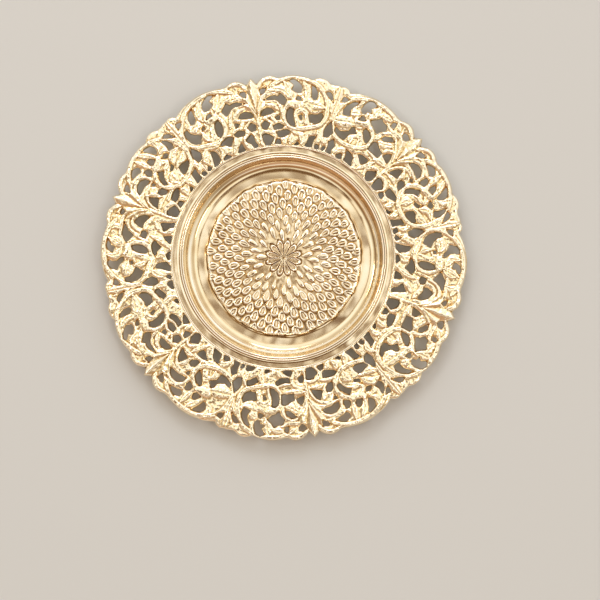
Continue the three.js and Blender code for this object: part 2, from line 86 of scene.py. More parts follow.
# %% [markdown]
# ## Helpers for meshes
#
# Spun and cast pieces end the same way: the mesh is scaled to metres, shaded smooth
# and put in the scene at the origin.

# %% From bmesh to object
def in_scene(name, data):
    """A new object in the scene, made from a mesh, lamp or camera."""
    thing = bpy.data.objects.new(name, data)
    bpy.context.scene.collection.objects.link(thing)
    return thing


def finished(bm, name):
    """Turns a bmesh in millimetres into a smooth-shaded object in metres."""
    bmesh.ops.scale(bm, vec=(MM, MM, MM), verts=bm.verts)
    mesh = bpy.data.meshes.new(name)
    bm.to_mesh(mesh)
    bm.free()
    mesh.shade_smooth()
    return in_scene(name, mesh)


# %% [markdown]
# Chased metal needs to know where it is hollow and where it stands proud, because polish
# reaches the ridges and leaves the hollows dull, and the colour paints shade into the
# hollows and a highlight onto the ridges. Comparing each vertex with the average of its
# neighbours, a few rings out, gives that number, and it is kept with the mesh as an
# attribute.

# %% Where the polish reaches, and where shading is painted
def places(mesh):
    """The vertices of a mesh as an array, one row each."""
    flat = np.empty(len(mesh.vertices) * 3)
    mesh.vertices.foreach_get("co", flat)
    return flat.reshape(-1, 3)


def neighbour_mean(values, edges, rounds):
    """Each value replaced by the average over its neighbours, a number of times."""
    a, b = edges
    count = len(values)
    degree = np.bincount(a, minlength=count) + np.bincount(b, minlength=count)
    for _ in range(rounds):
        total = np.bincount(a, values[b], count) + np.bincount(b, values[a], count)
        values = (values + total) / (1 + degree)
    return values


def mark_polish_and_painted_shading(piece, rounds, depth, shine=0):
    """Keeps how proud each vertex stands, from 0 in a hollow to 1 on a ridge, plus a shine."""
    mesh = piece.data
    ends = np.empty(len(mesh.edges) * 2, int)
    mesh.edges.foreach_get("vertices", ends)
    height = places(mesh)[:, 2] / MM
    proud = height - neighbour_mean(height, ends.reshape(-1, 2).T, rounds)
    # the same number paints shade into the hollows and a highlight onto the ridges, and sets the
    # gloss
    polish_and_painted_shading = np.clip(0.5 + proud / (2 * depth) + shine, 0, 1).astype(np.float32)
    mesh.attributes.new("polish_and_painted_shading", "FLOAT", "POINT").data.foreach_set("value", polish_and_painted_shading)
    print(f"{piece.name}: {len(mesh.vertices)} vertices, mean polish {polish_and_painted_shading.mean():.2f}")


# %% [markdown]
# ## The dish
#
# A dish like this is spun: a flat disc turns on a lathe and is pressed over a former
# with a roller, so every section through its axis is the same. Spinning a section in
# bmesh is the same idea. The upper side needs many steps for the chasing, and the
# underside fewer, so they are spun apart and bridged at the edge of the flange.

# %% Profile of the dish
CORE_R = 21.6               # inside this radius fewer steps are enough
FINE_STEPS = 630
PLAIN_STEPS = FINE_STEPS // 2
CHASING_STEP = 0.66         # ring to ring on the flower
FLOOR_STEP = 0.9            # on the floor ring
UNDER_STEP = 1.7            # and on the underside
WALL_RINGS = 16             # rings up the hollow wall
UNDER_RINGS = 6             # and up its outside
SPUN_RIDGES = 3             # fine ridges that the roller left up the wall
SPUN_DEPTH = 0.22
FLANGE_LIFT = 0.4           # flange above the top of the wall
#   steps out and up from the top of the wall: the bead's two rounds
BEAD = [(0.0, -0.1), (0.35, 0.62), (0.8, 1.05), (1.25, 0.95), (1.6, 0.55), (2.0, 0.6),
        (2.35, 1.15), (2.75, 1.2), (3.1, 0.7), (3.4, 0.3)]
#   steps out from there and up from the flange: its faint rings and its turned edge
FLANGE = [(4.0, 0.05), (4.6, 0.12), (5.1, 0.0), (5.7, -0.04), (6.3, 0.02), (6.9, -0.03),
          (7.5, 0.03), (8.1, -0.02), (8.6, 0.06), (9.0, 0.0), (9.3, 0.1), (9.55, 0.42),
          (9.85, 0.5), (10.1, 0.42), (10.28, 0.15)]


def rings(start, end, step):
    """Radii from start to end, about one step apart, both ends included."""
    return np.linspace(start, end, max(1, round((end - start) / step)) + 1)


def wall_point(turn, inside):
    """A point of the hollow wall, a quarter of an ellipse, on its upper or lower side."""
    out = (WELL_R - FLOOR_R) * math.sin(turn)
    up = 1 - math.cos(turn)
    if inside:
        ridge = SPUN_DEPTH * math.sin(turn * 4 * SPUN_RIDGES) * math.sin(2 * turn)
        return FLOOR_R + out - ridge, SHEET + WELL_DEPTH * up + ridge / 2
    return FLOOR_R + SHEET / 2 + out, (WELL_DEPTH - SHEET / 2) * up


def upper_rim():
    """The section from the edge of the flower out to the edge of the flange."""
    top = SHEET + WELL_DEPTH
    points = [(r, SHEET) for r in rings(MEDALLION_R + 0.6, FLOOR_R, FLOOR_STEP)]
    points += [wall_point(math.pi / 2 * i / WALL_RINGS, True) for i in range(1, WALL_RINGS)]
    points += [(WELL_R + out, top + up) for out, up in BEAD]
    points += [(WELL_R + out, top + FLANGE_LIFT + up) for out, up in FLANGE]
    return points


def underside():
    """The section along the underside, from the axis out to the flange."""
    inner = [(r, MEDALLION_RISE) for r in rings(0, MEDALLION_R - 1.6, UNDER_STEP)]
    step = [(MEDALLION_R - 1.0, MEDALLION_RISE * 0.6), (MEDALLION_R - 0.5, 0), (FLOOR_R, 0)]
    wall = [wall_point(math.pi / 2 * i / UNDER_RINGS, False) for i in range(UNDER_RINGS + 1)]
    flange = WELL_DEPTH + FLANGE_LIFT
    return inner + step + wall + [(BEAD_R, flange), (flange_r, flange)]


# %% The dish, spun
WELD = 1e-4                 # vertices of the spun sheet that are this close are one


def spin_section(bm, section, steps):
    """Adds the surface that a section, given as radius and height, sweeps round the axis."""
    verts = [bm.verts.new((radius, 0, height)) for radius, height in section]
    edges = [bm.edges.new(pair) for pair in zip(verts, verts[1:])]
    bmesh.ops.spin(bm, geom=verts + edges, cent=(0, 0, 0), axis=(0, 0, 1),
                   angle=math.tau, steps=steps, use_merge=True)


def open_loops(bm, inner, outer):
    """The open edges whose two ends lie between two radii."""
    return [e for e in bm.edges if e.is_boundary
            and all(inner < v.co.xy.length < outer for v in e.verts)]


flower_top = SHEET + MEDALLION_RISE
dish_bm = bmesh.new()
spin_section(dish_bm, [(r, flower_top) for r in rings(0, CORE_R, CHASING_STEP)], PLAIN_STEPS)
field = [(r, flower_top) for r in rings(CORE_R + CHASING_STEP, MEDALLION_R, CHASING_STEP)]
spin_section(dish_bm, field + upper_rim(), FINE_STEPS)
spin_section(dish_bm, underside(), PLAIN_STEPS)
bmesh.ops.remove_doubles(dish_bm, verts=dish_bm.verts, dist=WELD)
for inner, outer in ((CORE_R - 1, CORE_R + 2), (flange_r - 1, flange_r + 1)):
    bmesh.ops.bridge_loops(dish_bm, edges=open_loops(dish_bm, inner, outer))
bmesh.ops.recalc_face_normals(dish_bm, faces=dish_bm.faces)
print("open edges on the dish:", sum(e.is_boundary for e in dish_bm.edges))
dish = finished(dish_bm, "spun_dish")
print("dish:", sum(len(p.vertices) - 2 for p in dish.data.polygons), "triangles")

# %% [markdown]
# ## The embossed flower
#
# The flower is punched from the back and chased from the front, a petal at a time.
# Twelve petals meet at the centre. The others follow the sunflower's rule: each lies a
# golden angle further round than the one before it and a little further out, so that
# they pack evenly and no two rows line up. A petal is a drop that rises towards its tip
# and falls steeply there. The outer ones also have a raised rim round a hollow.

# %% Sizes of the petals
HEART_PETALS = 12
HEART_REACH = 15.6          # from the centre to the tips of the inner petals
HEART_WIDEST = 10.8         # radius where they stop touching and round off
HEART_RISE = 1.1            # height of their rims, as a share of PETAL_RISE
HEART_RIM = (0.68, 0.19)    # a rim's place between the petal's middle and edge, and width
SLIT = (0.3, 0.14)          # depth and width of the star of slits between them
PETAL_SPREAD = 4.4          # petal n lies this times the root of n from the axis
GOLDEN_ANGLE = math.radians(137.508)
PETAL_LONG = 9.4
PETAL_WIDE = 5.8
PETAL_RISE = 0.86
PETAL_RIM = (0.8, 0.17)     # place and width of the rim on the outer ones
PETAL_RIB = (0.35, 0.2)     # height and width of the rib in their hollow
PETAL_WANDER = 0.4          # how far a petal lies off its place, as handwork is
PETAL_TWIST = 0.16          # and how far it is turned, in radians
PETAL_SIZES = (0.9, 1.1)    # a petal is between these times as large
PETAL_HEIGHTS = (0.78, 1.08)        # and between these times as high
RIM_FROM, RIM_FULL = 24.0, 44.0     # the rims grow between these radii
rng = np.random.default_rng(7)

# %% Petals of the flower
def hump(value, place, width):
    """1 where the value is at the place, falling to nothing about two widths away."""
    return np.exp(-((value - place) / width) ** 2)


def heart_height(radius, angle):
    """Height of the inner petals: a rim round each, and a star of slits between them."""
    turn = (angle / math.tau * HEART_PETALS) % 1 - 0.5
    across = turn * math.tau * radius / HEART_PETALS
    half = math.pi / HEART_PETALS * HEART_WIDEST
    tip = (radius - HEART_WIDEST) / (HEART_REACH - HEART_WIDEST)
    norm = np.where(tip < 0, abs(turn) * 2, np.hypot(tip, across / half))
    rim = hump(norm, *HEART_RIM)
    body = np.clip(1 - norm ** 4, 0, 1)
    slit = SLIT[0] * hump(norm, 1, SLIT[1])
    raised = HEART_RISE * np.maximum(rim * (norm < 1.2), 0.5 * body) - slit
    return raised * np.clip(radius / 2.5, 0.3, 1)


def petal_list():
    """Radius, direction, width and share of a rim of each petal but the inner ones."""
    found = []
    first = math.ceil(((HEART_REACH + PETAL_LONG / 6) / PETAL_SPREAD) ** 2)
    last = math.floor(((MEDALLION_R - 1.2) / PETAL_SPREAD) ** 2)
    for n in range(first, last + 1):
        out = PETAL_SPREAD * math.sqrt(n)
        rim = min(max((out - RIM_FROM) / (RIM_FULL - RIM_FROM), 0), 1)
        found.append((out, GOLDEN_ANGLE * n, PETAL_WIDE * (0.76 + 0.42 * rim), 0.85 * rim))
    return found


print("petals:", HEART_PETALS, "at the heart and", len(petal_list()), "round it")


def petal_height(along, across, rim_share):
    """Height of a petal from 0 to 1, where along and across run from -1 to 1."""
    waist = 0.84 + 0.26 * along
    norm = np.hypot(along, across / waist)
    climb = 0.44 + 0.28 * (along + 1)
    body = np.clip(1 - norm ** 4, 0, 1) ** 0.8
    rim = hump(norm, *PETAL_RIM)
    rib = PETAL_RIB[0] * hump(across, 0, PETAL_RIB[1])
    hollow = np.maximum(rim, body * (0.2 + rib)) * (norm < 1.15)
    return climb * ((1 - rim_share) * body + rim_share * hollow)


def flower_height(x, y):
    """Height of the chasing above the flat medallion."""
    height = heart_height(np.hypot(x, y), np.arctan2(y, x))
    for out, turn, wide, rim_share in petal_list():
        out += rng.uniform(-PETAL_WANDER, PETAL_WANDER)
        turn += rng.uniform(-PETAL_WANDER, PETAL_WANDER) / out
        lean = turn + rng.uniform(-PETAL_TWIST, PETAL_TWIST)
        size = rng.uniform(*PETAL_SIZES)
        right, up = x - out * math.cos(turn), y - out * math.sin(turn)
        along = (right * math.cos(lean) + up * math.sin(lean)) / (PETAL_LONG / 2 * size)
        across = (up * math.cos(lean) - right * math.sin(lean)) / (wide / 2 * size)
        near = (abs(along) < 1.3) & (abs(across) < 1.3)
        petal = petal_height(along[near], across[near], rim_share)
        height[near] = np.maximum(height[near], petal * rng.uniform(*PETAL_HEIGHTS))
    return PETAL_RISE * height


# %% [markdown]
# The flower stands on a low dome with a ragged edge, where the punch slipped over its
# last row. The sheet round it is smooth but not true: spinning leaves soft waves, and
# they are what bends the reflections in the floor ring and the flange. The underside of
# the floor ring stays flat, because the platter stands on it.

# %% The flower's edge and the sheet's unevenness
DOME_RISE = 0.2             # the medallion stands this much higher in its middle
DOME_FALL = 0.6             # and falls by this much to its edge
RING_WAVE = (17.0, 0.32)    # width and height of the soft waves that spinning leaves
FLANGE_WAVE = (11.0, 0.14)
FLOWER_WAVE = (24.0, 0.30)
GROUND_WAVE = (3.8, 0.07)   # of the dents between the petals
EDGE_FALL = 0.9             # the flower's edge falls to the floor over this width
EDGE_WANDER = 0.5           # and wanders this far, in these numbers of waves round it
EDGE_WAVES = (13, 29, 47)


def wavy(co, wave):
    """Soft waves over the places, the same on each run."""
    width, height = wave
    return height * np.array([noise.noise(Vector((x, y, 3.0))) for x, y in co[:, :2] / width])


def ragged(angle, waves, size):
    """A wandering line round the circle, the same on each run."""
    return sum(size / (i + 1) * np.sin(w * angle + 2.1 * i) for i, w in enumerate(waves))


def chase_dish(mesh):
    """Raises the petals and the uneven ground, and leaves the foot ring flat."""
    co = places(mesh) / MM
    radius = np.hypot(co[:, 0], co[:, 1])
    angle = np.arctan2(co[:, 1], co[:, 0])
    upper = co[:, 2] > np.where(radius < MEDALLION_R, MEDALLION_RISE + SHEET / 2, SHEET / 2)
    edge = MEDALLION_R - EDGE_FALL + ragged(angle, EDGE_WAVES, EDGE_WANDER)
    inside = np.clip((edge - radius) / EDGE_FALL, 0, 1)
    petals = flower_height(co[:, 0], co[:, 1]) * inside
    on_flower = radius < MEDALLION_R + 0.1
    drop = (1 - inside) * (MEDALLION_RISE - 0.15) * upper
    co[:, 2] += np.where(on_flower, petals * np.where(upper, 1, 0.7) - drop, 0)
    dome = DOME_RISE - DOME_FALL * (radius / MEDALLION_R) ** 2
    above_foot = np.where(upper, 1, np.clip(co[:, 2] / MEDALLION_RISE, 0, 1))
    co[:, 2] += dome * inside * on_flower * above_foot
    flat = np.clip(np.minimum(radius - BEAD_R, flange_r - 0.9 - radius), 0, 1) * upper
    ring = (radius > MEDALLION_R + 0.3) & (radius < WELL_R - 1) & upper
    co[:, 2] += wavy(co, FLANGE_WAVE) * flat + wavy(co, RING_WAVE) * ring
    co[:, 2] += (wavy(co, GROUND_WAVE) + wavy(co, FLOWER_WAVE)) * inside * upper
    mesh.vertices.foreach_set("co", (co * MM).ravel())
    mesh.update()
    print(f"petals raised up to {petals.max():.2f} mm")


POLISH_AND_SHADING_ROUNDS = 5           # how many rings of neighbours a vertex is compared with
POLISH_AND_SHADING_DEPTH = 0.3          # this far above or below them is painted fully light or fully dark, and quite glossy or quite dull
PETAL_DEPTH = 0.25          # the same between the petals
WALL_SHINE = 0.12           # the smooth wall is painted lighter, a painted highlight, and made glossier
PETAL_SHADE_AND_DULLING = 0.05        # the flower is painted a little darker, as painted shade, and made duller
chase_dish(dish.data)
dish_radius = np.hypot(*places(dish.data)[:, :2].T) / MM
on_wall = np.clip(dish_radius - FLOOR_R, 0, 1) * np.clip(BEAD_R + 0.4 - dish_radius, 0, 1)
on_petals = np.clip(MEDALLION_R - dish_radius, 0, 1)
mark_polish_and_painted_shading(dish, POLISH_AND_SHADING_ROUNDS, POLISH_AND_SHADING_DEPTH + (PETAL_DEPTH - POLISH_AND_SHADING_DEPTH) * on_petals,
            WALL_SHINE * on_wall - PETAL_SHADE_AND_DULLING * on_petals)
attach(dish, "root")
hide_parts("centre_dish")

# %% [markdown]
# ## The castings
#
# The border is cast in six sections in sand or wax. Each is a pierced plate whose bars
# carry scrolls, arches and leaves in relief, filed and chased after casting. The solid
# already has the true openings and outline. So a copy of it is merged and made flat on
# top, remeshed to small even faces, and its upper side is then raised by a relief that
# is drawn below. Working from the solid's own openings keeps every hole in its place.

# %% Flat blanks from the solids
VOXEL = 0.46
COPY_WELD = 1e-3            # corners of a solid's loose triangles that are this close meet


def merged_copy(node):
    """A merged copy of a solid, in millimetres, with all that stands on its plate cut off."""
    bm = bmesh.new()
    bm.from_mesh(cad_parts[node].data)
    bmesh.ops.scale(bm, vec=(1 / MM, 1 / MM, 1 / MM), verts=bm.verts)
    for v in bm.verts:
        v.co.z = min(v.co.z, plate_top)
    bmesh.ops.remove_doubles(bm, verts=bm.verts, dist=COPY_WELD)
    bmesh.ops.recalc_face_normals(bm, faces=bm.faces)
    return bm


def foot_edges(bm):
    """The edges of the openings and of the outline, where they meet the underside."""
    found = []
    for e in bm.edges:
        low = all(v.co.z < plate_bottom + 0.01 for v in e.verts)
        walls = [f for f in e.link_faces if abs(f.normal.z) < 0.1]
        if low and len(walls) == 1:
            found.append([v.co.xy[:] for v in e.verts])
    return found


def remeshed(bm, name):
    """The same shape in small even faces."""
    mesh = bpy.data.meshes.new(name + "_blank")
    bm.to_mesh(mesh)
    bm.free()
    blank = in_scene(name + "_blank", mesh)
    modifier = blank.modifiers.new("even_faces", "REMESH")
    modifier.mode = "VOXEL"
    modifier.voxel_size = VOXEL
    graph = bpy.context.evaluated_depsgraph_get()
    even = bpy.data.meshes.new_from_object(blank.evaluated_get(graph))
    bpy.data.objects.remove(blank)
    return even


casting_nodes = [f"border_casting_{i + 1}" for i in range(SECTIONS)]
blanks = {}
outline_edges = []
for node in casting_nodes:
    blank_bm = merged_copy(node)
    blank_bm.normal_update()
    outline_edges += foot_edges(blank_bm)
    blanks[node] = remeshed(blank_bm, node)
    print(node, len(blanks[node].vertices), "vertices")

# %% [markdown]
# The ends of a section and the inside of its strap are edges too, but no light gets
# in there: the sections are brazed end to end, and the strap lies under the flange.
# They are left out, so that the relief runs on over the joints.

# %% Edges that show
SECTION_TURN = 360 / SECTIONS
JOINT_BACK = 29.4           # a joint lies this many degrees back from its palmette
JOINT_NEAR = 0.2            # the end faces of a section lie this close to the joint's line

edge_starts, edge_ends = np.array(outline_edges).transpose(1, 0, 2)
joint_angles = np.radians(FIRST_TIP + SECTION_TURN * np.arange(SECTIONS) - JOINT_BACK)


def off_joint(co, a):
    """How far points lie to the side of a joint's line, and whether on its side of the axis."""
    off = co[:, 0] * -math.sin(a) + co[:, 1] * math.cos(a)
    return off, co[:, 0] * math.cos(a) + co[:, 1] * math.sin(a) > 0


def beside_joint(points):
    """True for points that lie on the end face of a section."""
    hit = np.zeros(len(points), bool)
    for a in joint_angles:
        off, ahead = off_joint(points, a)
        hit |= ahead & (abs(off) < JOINT_NEAR)
    return hit


hidden = beside_joint(edge_starts) & beside_joint(edge_ends)
hidden |= np.hypot(*edge_starts.T) < STRAP_TURN - 1
edge_starts, edge_ends = edge_starts[~hidden], edge_ends[~hidden]
print(len(edge_starts), "edges round openings and outline")

# %% [markdown]
# ## Drawing the relief
#
# The relief is drawn as strokes, the way a chaser works along a line with one tool.
# A band is a scroll or arch with a groove down its middle, a leaf has a midrib and
# slanting veins, a lobe of a palmette has two flat sides that meet in a ridge, and a
# boss is a small dome. Points are given as (across, out) from the axis of the platter,
# with the palmette straight up, and the left half of a section uses the same points
# mirrored.

# %% Strokes of the scrolls
ARCH = [(15, 142.6), (22, 145.4), (29, 146.9), (36, 146.2), (43, 144), (49.5, 140.6)]
#   a ring goes on from the arch
RING = {
    "A": [(55, 135.6), (58.4, 129), (59.6, 121.5), (58.6, 113.5), (55, 106.8), (50, 103),
          (43, 102.4), (35, 102.8), (28.4, 104.6), (23.8, 108.6), (22.2, 114.8), (23.6, 121),
          (28, 124.2), (34, 124.2)],
    "B": [(55, 135.6), (59.4, 129), (60.4, 121.5), (59.2, 112.5), (55.6, 104.6), (50, 99.8),
          (43, 98.2), (35, 98.8), (28, 102), (23.6, 107.4), (22.2, 114), (24, 120),
          (28.4, 124.4), (34, 126.2), (41, 126.6)],
    "C": [(55, 136), (59, 129), (59.6, 121.5), (58.2, 113.5), (55, 106.4), (49.6, 101.8),
          (43, 100.4), (36, 101.2), (29.6, 104.6), (24.6, 109.4), (23, 115.6), (25.4, 121.8),
          (30, 125.4), (36, 126.2), (42, 122.4)],
    "D": [(55, 135.6), (58.6, 129), (60, 121.5), (59.4, 114), (56.4, 108), (51, 105),
          (44, 105), (36, 104.4), (30.4, 106.4), (27, 110.6), (26, 116.4), (28, 122.6),
          (32.6, 125.6), (38, 125.2)],
}
VOLUTE = [(4.8, 143), (6.8, 147), (11, 149.6), (15.8, 150), (20.5, 148.2), (25, 146)]
STEM = [(0, 95), (0, 110), (0, 128)]

#   width, then the points of a band
CROWN_BANDS = {
    "A": [(2.4, [(1.4, 118.6), (2.6, 124), (5.6, 127.2), (10, 127.9), (15, 126), (18.4, 122)]),
          (2.6, [(4.4, 127), (8, 130.8), (13, 131.4), (17, 130.4), (20, 127), (22, 114)]),
          (2.8, [(2.6, 127.5), (4.4, 132.8), (8.4, 135.7), (14, 136.2), (19.6, 134.6)])],
    "B": [(2.8, [(2.2, 110), (3.6, 117), (8, 123.2), (13.6, 126.2), (19, 124.8), (24, 123.6)]),
          (3.4, [(3.4, 124.4), (7.8, 131), (12.6, 136), (18, 136.4), (23, 133.6), (25.4, 121)]),
          (3.0, [(6, 139.4), (12, 141), (18.6, 139.2), (24, 136.4), (27.5, 134.6)])],
    "C": [(2.4, [(1.6, 115), (2.6, 121), (5.6, 125.6), (9.4, 125), (11.4, 119.8)]),
          (2.8, [(6, 126.6), (10, 131.8), (13.2, 135), (18.6, 134.6), (22, 130.4), (22.6, 110)]),
          (3.0, [(5, 139.2), (12, 138.6), (20, 137.6), (26, 138.8)])],
    "D": [(2.8, [(2.4, 114.6), (3.2, 120.6), (6.4, 126), (12, 129), (16.4, 126.4), (18, 118.6)]),
          (3.0, [(3.6, 127), (8.4, 132.4), (14.6, 133.2), (19.4, 129.6), (21.4, 124), (23.6, 111)]),
          (2.8, [(9, 137.2), (14, 138), (20, 136.8), (27, 135.4)])],
}
FILL_BANDS = {
    "A": [(4.2, [(30.6, 103.6), (30.4, 110), (32.2, 116), (36, 118.6), (40, 116), (41, 110.5),
                (38.6, 106)])],
    "B": [(3.4, [(25, 106), (25.6, 113), (29.6, 117.2), (35, 118.4), (40, 117.6), (43.4, 118.5)])],
    "C": [(4.4, [(27, 101.5), (27.4, 108.5), (30.6, 114), (35, 113.4), (36.6, 109), (34, 105.6)])],
    "D": [(5.2, [(36.4, 104.8), (35.4, 111), (35.6, 118), (39.4, 121.6), (41.6, 117.4)])],
}
ROW_BANDS = {
    "A": [(2.6, [(0.4, 109.5), (4.5, 110.5), (8.6, 108), (10.8, 103), (8.4, 96)]),
          (2.6, [(11, 104.2), (17, 104.8), (24, 105), (30, 102.8), (36, 101)])],
    "B": [(2.6, [(0.8, 104.5), (5, 106.2), (10, 104), (11.6, 98.5), (8.6, 93.8)]),
          (2.8, [(12, 106.5), (18.5, 106.8), (25, 104.6), (29.5, 100.2), (36, 98)])],
    "C": [(2.4, [(0.6, 104.8), (4, 107), (8, 105.2), (9.8, 100), (7.6, 94.4)]),
          (2.8, [(22.8, 106.6), (26.6, 103), (33, 101.2), (41, 99.6), (47.6, 101)])],
    "D": [(2.8, [(7.6, 110.6), (11.6, 106.2), (12.4, 100), (9.6, 94)]),
          (3.0, [(23, 108.6), (28, 106.6), (34.4, 102.8), (42, 102.4), (49, 104.8)])],
}

# %% Strokes of the leaves
#   width, then base, middle and tip of a leaf
CROWN_LEAVES = {
    "A": [(8.0, [(31, 129.5), (25, 137), (15, 141)]),
          (6.5, [(31, 131), (30, 138), (27, 144.5)]),
          (6.0, [(43, 126), (45.5, 133), (43, 142)]), (4.6, [(5, 133), (11, 138.6), (19, 139)]),
          (4.0, [(4, 117), (9, 118.6), (14.5, 121.5)]),
          (6.0, [(21, 109), (15.5, 113), (10.5, 119.5)]),
          (6.5, [(12.2, 103.2), (9.5, 110), (5.5, 117)])],
    "B": [(5.0, [(33.5, 128.5), (33.6, 137), (33.8, 144.6)]),
          (6.0, [(41.8, 128), (41.4, 136), (38.6, 144)]),
          (6.4, [(48, 128.6), (52.4, 132), (54, 139)]),
          (3.6, [(6.6, 127), (13, 129), (20.5, 125.6)]),
          (6.0, [(10, 123.6), (12.6, 118), (14.5, 112.5)]),
          (3.4, [(21.6, 121), (22, 115), (21, 108.6)]),
          (5.0, [(2.4, 111.5), (8, 112.4), (14, 110)])],
    "C": [(8.0, [(38, 131), (37.4, 138), (38.6, 144.4)]),
          (6.0, [(34.6, 139), (29.6, 141.6), (24, 143)]),
          (6.0, [(44.6, 127.6), (47.6, 126), (50.8, 121.6)]),
          (4.0, [(50.4, 130.6), (50.6, 137), (49, 143)]),
          (7.0, [(9.6, 129.6), (14, 126), (20.6, 122)]),
          (5.0, [(2, 113.6), (9, 112.6), (20, 112)])],
    "D": [(5.0, [(33, 130.4), (29.4, 135.6), (29.6, 142)]),
          (4.4, [(33.6, 131), (33, 137.4), (30.4, 144.4)]),
          (7.0, [(35, 131), (41.4, 133.4), (43.6, 141.6)]),
          (5.0, [(21, 137), (20, 141), (23.4, 144.4)]),
          (6.0, [(4.4, 113.4), (10.6, 117.6), (17, 116.6)])],
}
FILL_LEAVES = {
    "A": [(10.0, [(28.5, 126.5), (43, 123), (57.5, 116)]),
          (6.5, [(36, 127), (43, 121), (45, 114.5)]),
          (4.0, [(41, 104), (40.5, 110), (41.5, 115)])],
    "B": [(8.0, [(30, 103.5), (31, 108), (35, 112)]),
          (6.5, [(41.5, 109), (49, 107.4), (57, 109)]),
          (7.0, [(43.5, 112.5), (50, 117), (57, 114)]),
          (4.0, [(46.5, 127), (51, 124.6), (54.6, 119)]),
          (5.0, [(37, 126), (41.6, 121.5), (42.4, 117.6)])],
    "C": [(9.5, [(41.6, 119.6), (49, 114), (57.5, 107.4)]),
          (4.0, [(35.6, 124), (38, 119.8), (41.8, 117.6)]),
          (4.0, [(28.6, 118.2), (33.2, 116.4), (36.6, 112.6)])],
    "D": [(8.5, [(43.4, 121.6), (48, 122.6), (56.4, 118)]),
          (5.0, [(39, 108), (42.6, 112.6), (44.6, 117.4)]),
          (4.0, [(34.6, 124.6), (39, 126), (42.6, 125)])],
}
ROW_LEAVES = {
    "A": [(5.0, [(19, 101.5), (19.5, 97), (21.5, 92)]),
          (5.6, [(35, 101), (35.4, 95), (33.4, 89.5)]),
          (6.0, [(47.8, 100.5), (49, 94), (44.8, 90)]),
          (4.0, [(5.4, 103), (6.4, 99), (5.6, 94.5)])],
    "B": [(5.0, [(16, 99.5), (18.6, 95.6), (18, 92)]),
          (5.4, [(25.5, 99.8), (24.6, 95), (22, 91.6)]),
          (5.0, [(32.5, 98.4), (33.4, 93.5), (31.6, 89.6)]),
          (5.0, [(47.5, 98.6), (47.8, 92.6), (43.6, 88.5)])],
    "C": [(4.0, [(10, 109), (12.6, 101), (15.4, 94)]),
          (6.0, [(30.4, 98.4), (34, 95.4), (35.6, 90)]),
          (3.6, [(28.4, 96.4), (28.6, 92.4), (26, 90)]),
          (7.0, [(49.6, 99), (48.6, 93), (45.4, 88.4)])],
    "D": [(4.0, [(18.6, 110.8), (19.6, 101), (22.8, 92.6)]),
          (6.0, [(32.6, 100.4), (29.6, 96.4), (33, 90.6)]),
          (6.6, [(43.4, 101.4), (45.6, 95), (43.6, 89.6)])],
}
PALMETTE_LEAVES = [
    (7.0, [(0.4, 119), (4.6, 128), (12.0, 134)]),
    (8.4, [(0.4, 123), (5.6, 134), (10.4, 144.4)]),
    (10.4, [(0, 125), (0, 139), (0, 152.6)]),
]
#   drawn with the joint straight up
LOBE_LEAVES = [
    (9.0, [(0, 125.5), (0, 138), (0, 150.6)]),
    (4.0, [(-1, 127), (-4.4, 135), (-4.6, 146)]),
    (4.0, [(1, 127), (4.4, 135), (4.6, 146)]),
]
#   crown, fill and row of each section's right half, then of its left half
CASTINGS = ["AAB ADD", "BBB DDD", "AAA BCC", "CAA BBB", "CCB DDD", "BBB CCC"]

# %% [markdown]
# A smooth line through a few points is all that a stroke needs to be placed. Every
# stroke becomes such a line on the platter, with its width and its kind. Strokes from
# all six sections are kept in one list, so that a leaf near a joint shapes both of the
# castings that meet there.

# %% Strokes on the platter
LINE_STEP = 1.2
#   width and rise of a stroke
RING_BAND = (4.2, 1.3)
RING_BOSS = (8.4, 1.6)
VOLUTE_BAND = (4.2, 1.1)
STEM_BAND = (2.6, 0.8)
#   how much wider than drawn, and rise
OTHER_BANDS = (1.2, 0.85)
LEAVES = (1.1, 1.0)
LOBE_RISE = 1.2
PALMETTE_RISE = (1.7, 0.25)         # of its lowest lobe, and more for each next one


def smooth_line(points):
    """A Catmull-Rom line through the points, sampled about every LINE_STEP mm."""
    p = np.asarray(points, float)
    p = np.vstack([2 * p[0] - p[1], p, 2 * p[-1] - p[-2]])
    line = []
    for a, b, c, d in zip(p, p[1:], p[2:], p[3:]):
        count = max(1, round(math.dist(b, c) / LINE_STEP))
        for t in np.arange(count) / count:
            bend = (2 * a - 5 * b + 4 * c - d) * t * t + (3 * b - a - 3 * c + d) * t ** 3
            line.append((2 * b + (c - a) * t + bend) / 2)
    return np.array(line + [p[-2]])


def placed(points, turn, side):
    """Drawn points moved to their section: turn is its palmette's direction in radians."""
    p = np.asarray(points, float)
    angle = np.arctan2(p[:, 0], p[:, 1]) * (side if side > 0 else side * LEFT_STRETCH)
    radius = np.hypot(*p.T)
    return np.stack([radius * np.cos(turn - angle), radius * np.sin(turn - angle)], 1)


strokes = []


def draw(kind, width, rise, points, turn, side):
    """Adds one stroke to the list."""
    line = smooth_line(placed(points, turn, side))
    strokes.append({"kind": kind, "half": width / 2, "rise": rise, "line": line})


def draw_half(letters, turn, side):
    """All strokes of one half of a section."""
    crown, fill, row = letters
    draw("band", *RING_BAND, ARCH + RING[fill], turn, side)
    draw("boss", *RING_BOSS, RING[fill][-2:], turn, side)
    draw("band", *VOLUTE_BAND, VOLUTE, turn, side)
    for width, points in CROWN_BANDS[crown] + FILL_BANDS[fill] + ROW_BANDS[row]:
        draw("band", width * OTHER_BANDS[0], OTHER_BANDS[1], points, turn, side)
    for width, points in CROWN_LEAVES[crown] + FILL_LEAVES[fill] + ROW_LEAVES[row]:
        draw("leaf", width * LEAVES[0], LEAVES[1], points, turn, side)
    for rank, (width, points) in enumerate(PALMETTE_LEAVES):
        draw("lobe", width, PALMETTE_RISE[0] + PALMETTE_RISE[1] * rank, points, turn, side)


